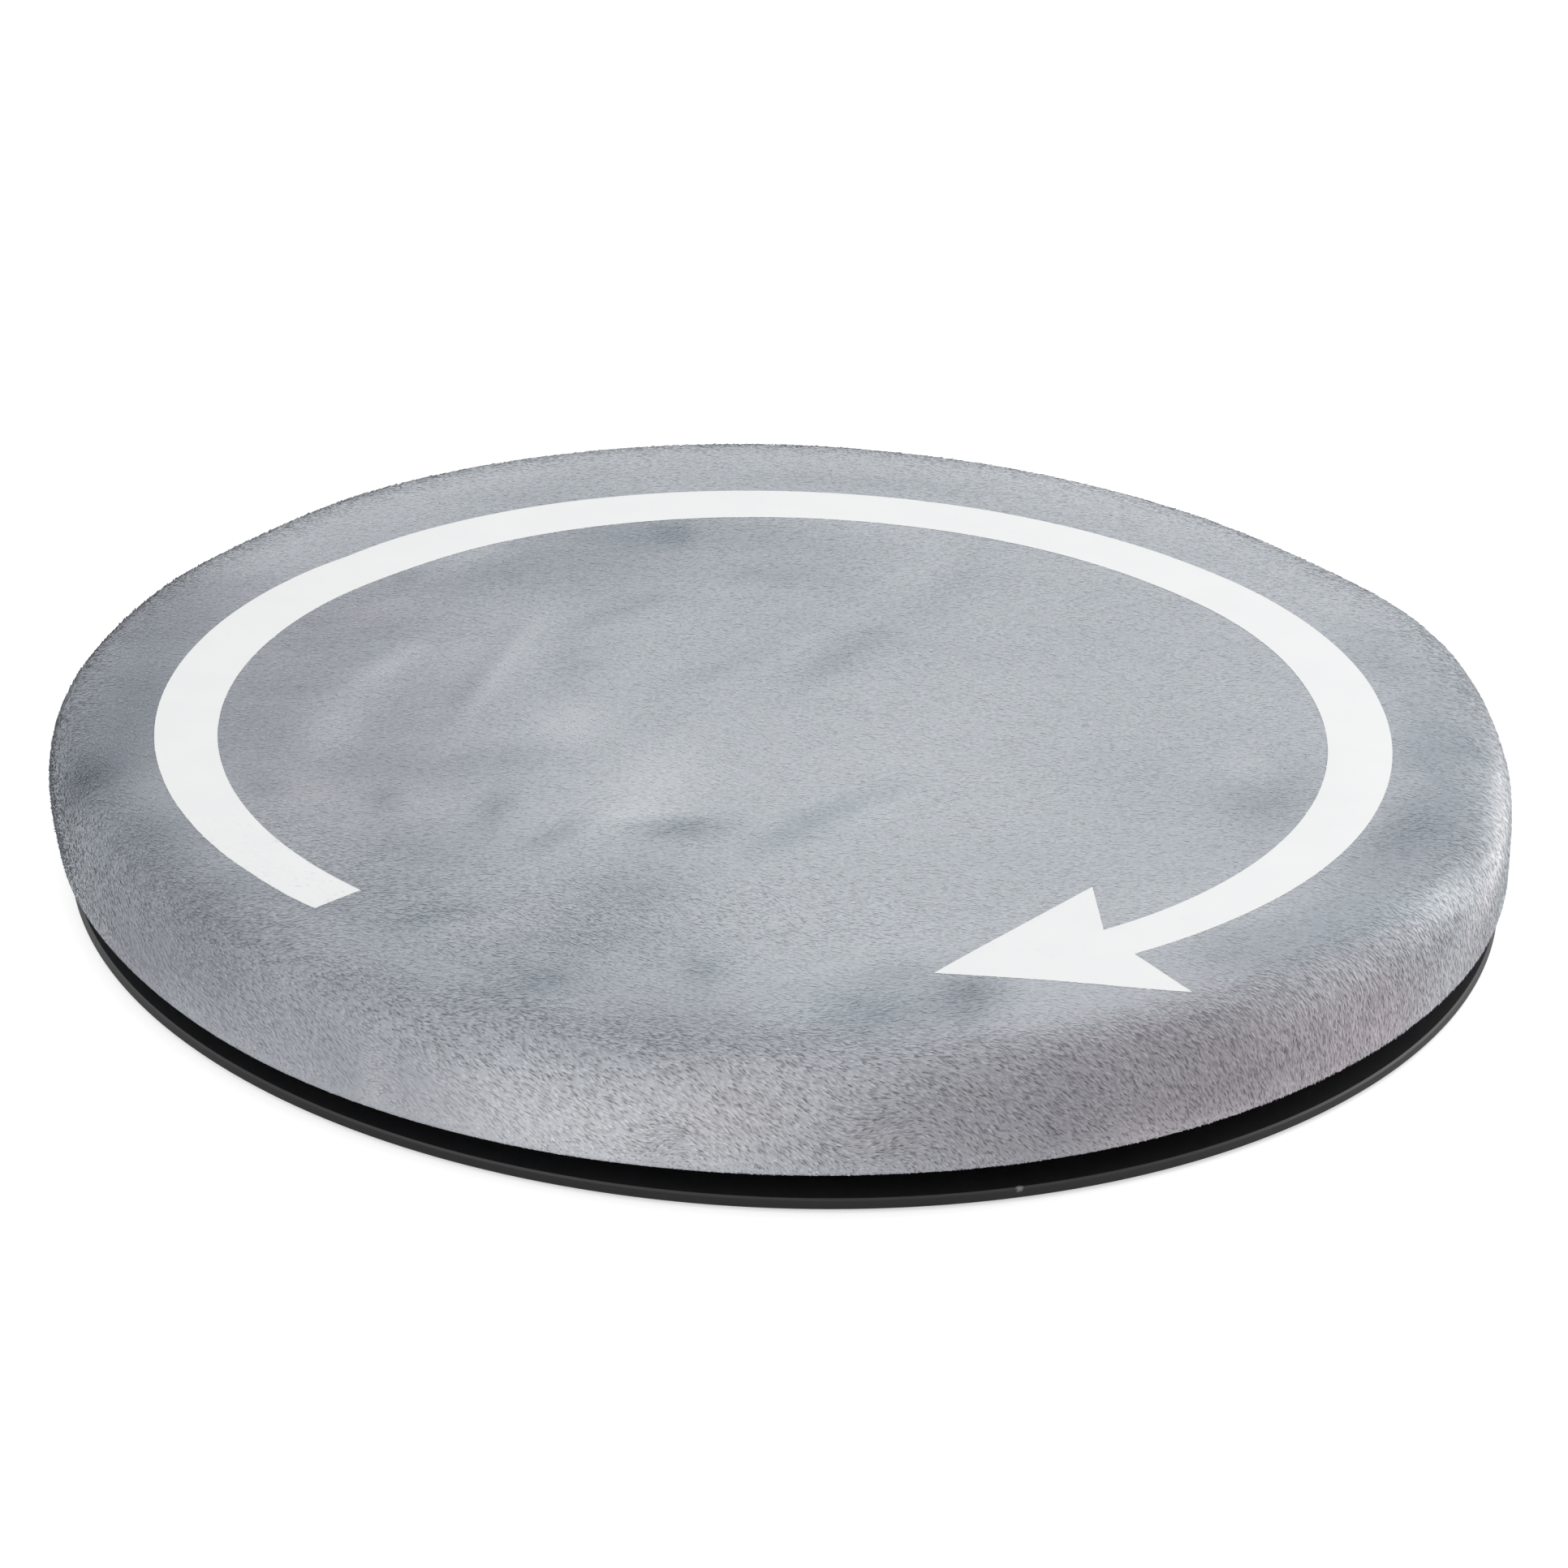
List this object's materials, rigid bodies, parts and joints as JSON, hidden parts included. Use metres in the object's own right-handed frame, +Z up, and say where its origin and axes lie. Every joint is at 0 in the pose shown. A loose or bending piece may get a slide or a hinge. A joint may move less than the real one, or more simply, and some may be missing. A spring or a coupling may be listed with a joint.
{
  "type": "swivel seat cushion",
  "caption": "Round plush-covered foam seat cushion that turns freely on a flat base disc with a ball-bearing turntable, with a printed arrow showing the turning direction.",
  "frame": {"origin": "centre of the footprint, on the surface that the cushion stands on", "axes": "+Z up along the swivel axis; the person sitting down faces -Y, the side that the picture was taken from; the printed arrowhead lies on that side"},
  "size_m": [0.4, 0.4, 0.046],
  "materials": {
    "black_abs": "satin",
    "black_pp": "satin",
    "grip_rubber": "matte",
    "zinc_steel": "satin",
    "bearing_steel": "polished",
    "natural_nylon": "satin",
    "white_nylon": "satin",
    "grey_nylon": "satin",
    "firm_foam": "matte",
    "memory_foam": "matte",
    "grey_plush": "matte",
    "black_elastic": "matte",
    "white_print": "matte"
  },
  "bodies": {
    "base": {"base_plate": "black_abs", "grip_pad_1": "grip_rubber", "grip_pad_2": "grip_rubber", "grip_pad_3": "grip_rubber", "grip_pad_4": "grip_rubber", "grip_pad_5": "grip_rubber", "grip_pad_6": "grip_rubber", "grip_pad_7": "grip_rubber", "grip_pad_8": "grip_rubber", "pivot_bolt": "zinc_steel", "thrust_washer": "natural_nylon", "pivot_washer": "zinc_steel", "lock_nut": "zinc_steel"},
    "top": {"top_plate": "black_pp", "pivot_bush": "white_nylon", "base_foam": "firm_foam", "comfort_foam": "memory_foam", "cover": "grey_plush", "hem_elastic": "black_elastic", "arrow_print": "white_print"},
    "ball_ring": {"ball_retainer": "grey_nylon"},
    "rolling_ball_01": {"ball_01": "bearing_steel"},
    "rolling_ball_02": {"ball_02": "bearing_steel"},
    "rolling_ball_03": {"ball_03": "bearing_steel"},
    "rolling_ball_04": {"ball_04": "bearing_steel"},
    "rolling_ball_05": {"ball_05": "bearing_steel"},
    "rolling_ball_06": {"ball_06": "bearing_steel"},
    "rolling_ball_07": {"ball_07": "bearing_steel"},
    "rolling_ball_08": {"ball_08": "bearing_steel"},
    "rolling_ball_09": {"ball_09": "bearing_steel"},
    "rolling_ball_10": {"ball_10": "bearing_steel"},
    "rolling_ball_11": {"ball_11": "bearing_steel"},
    "rolling_ball_12": {"ball_12": "bearing_steel"},
    "rolling_ball_13": {"ball_13": "bearing_steel"},
    "rolling_ball_14": {"ball_14": "bearing_steel"},
    "rolling_ball_15": {"ball_15": "bearing_steel"},
    "rolling_ball_16": {"ball_16": "bearing_steel"}
  },
  "joints": [
    {"name": "top_swivel", "type": "hinge", "parent": "base", "child": "top", "pos_m": [0, 0, 0.0139], "axis": [0, 0, 1], "continuous": true},
    {"name": "ball_ring_swivel", "type": "hinge", "parent": "base", "child": "ball_ring", "pos_m": [0, 0, 0.0077], "axis": [0, 0, 1], "continuous": true},
    {"name": "ball_roll_01", "type": "hinge", "parent": "ball_ring", "child": "rolling_ball_01", "pos_m": [0.125, 0, 0.0077], "axis": [1, 0, 0], "continuous": true},
    {"name": "ball_roll_02", "type": "hinge", "parent": "ball_ring", "child": "rolling_ball_02", "pos_m": [0.11548, 0.04784, 0.0077], "axis": [0.9239, 0.3827, 0], "continuous": true},
    {"name": "ball_roll_03", "type": "hinge", "parent": "ball_ring", "child": "rolling_ball_03", "pos_m": [0.08839, 0.08839, 0.0077], "axis": [0.7071, 0.7071, 0], "continuous": true},
    {"name": "ball_roll_04", "type": "hinge", "parent": "ball_ring", "child": "rolling_ball_04", "pos_m": [0.04784, 0.11548, 0.0077], "axis": [0.3827, 0.9239, 0], "continuous": true},
    {"name": "ball_roll_05", "type": "hinge", "parent": "ball_ring", "child": "rolling_ball_05", "pos_m": [0, 0.125, 0.0077], "axis": [0, 1, 0], "continuous": true},
    {"name": "ball_roll_06", "type": "hinge", "parent": "ball_ring", "child": "rolling_ball_06", "pos_m": [-0.04784, 0.11548, 0.0077], "axis": [-0.3827, 0.9239, 0], "continuous": true},
    {"name": "ball_roll_07", "type": "hinge", "parent": "ball_ring", "child": "rolling_ball_07", "pos_m": [-0.08839, 0.08839, 0.0077], "axis": [-0.7071, 0.7071, 0], "continuous": true},
    {"name": "ball_roll_08", "type": "hinge", "parent": "ball_ring", "child": "rolling_ball_08", "pos_m": [-0.11548, 0.04784, 0.0077], "axis": [-0.9239, 0.3827, 0], "continuous": true},
    {"name": "ball_roll_09", "type": "hinge", "parent": "ball_ring", "child": "rolling_ball_09", "pos_m": [-0.125, 0, 0.0077], "axis": [-1, 0, 0], "continuous": true},
    {"name": "ball_roll_10", "type": "hinge", "parent": "ball_ring", "child": "rolling_ball_10", "pos_m": [-0.11548, -0.04784, 0.0077], "axis": [-0.9239, -0.3827, 0], "continuous": true},
    {"name": "ball_roll_11", "type": "hinge", "parent": "ball_ring", "child": "rolling_ball_11", "pos_m": [-0.08839, -0.08839, 0.0077], "axis": [-0.7071, -0.7071, 0], "continuous": true},
    {"name": "ball_roll_12", "type": "hinge", "parent": "ball_ring", "child": "rolling_ball_12", "pos_m": [-0.04784, -0.11548, 0.0077], "axis": [-0.3827, -0.9239, 0], "continuous": true},
    {"name": "ball_roll_13", "type": "hinge", "parent": "ball_ring", "child": "rolling_ball_13", "pos_m": [0, -0.125, 0.0077], "axis": [0, -1, 0], "continuous": true},
    {"name": "ball_roll_14", "type": "hinge", "parent": "ball_ring", "child": "rolling_ball_14", "pos_m": [0.04784, -0.11548, 0.0077], "axis": [0.3827, -0.9239, 0], "continuous": true},
    {"name": "ball_roll_15", "type": "hinge", "parent": "ball_ring", "child": "rolling_ball_15", "pos_m": [0.08839, -0.08839, 0.0077], "axis": [0.7071, -0.7071, 0], "continuous": true},
    {"name": "ball_roll_16", "type": "hinge", "parent": "ball_ring", "child": "rolling_ball_16", "pos_m": [0.11548, -0.04784, 0.0077], "axis": [0.9239, -0.3827, 0], "continuous": true}
  ],
  "couplings": [
    {"joint": "ball_ring_swivel", "follows": "top_swivel", "ratio": 0.5},
    {"joint": "ball_roll_01", "follows": "top_swivel", "ratio": -15.625},
    {"joint": "ball_roll_02", "follows": "top_swivel", "ratio": -15.625},
    {"joint": "ball_roll_03", "follows": "top_swivel", "ratio": -15.625},
    {"joint": "ball_roll_04", "follows": "top_swivel", "ratio": -15.625},
    {"joint": "ball_roll_05", "follows": "top_swivel", "ratio": -15.625},
    {"joint": "ball_roll_06", "follows": "top_swivel", "ratio": -15.625},
    {"joint": "ball_roll_07", "follows": "top_swivel", "ratio": -15.625},
    {"joint": "ball_roll_08", "follows": "top_swivel", "ratio": -15.625},
    {"joint": "ball_roll_09", "follows": "top_swivel", "ratio": -15.625},
    {"joint": "ball_roll_10", "follows": "top_swivel", "ratio": -15.625},
    {"joint": "ball_roll_11", "follows": "top_swivel", "ratio": -15.625},
    {"joint": "ball_roll_12", "follows": "top_swivel", "ratio": -15.625},
    {"joint": "ball_roll_13", "follows": "top_swivel", "ratio": -15.625},
    {"joint": "ball_roll_14", "follows": "top_swivel", "ratio": -15.625},
    {"joint": "ball_roll_15", "follows": "top_swivel", "ratio": -15.625},
    {"joint": "ball_roll_16", "follows": "top_swivel", "ratio": -15.625}
  ]
}
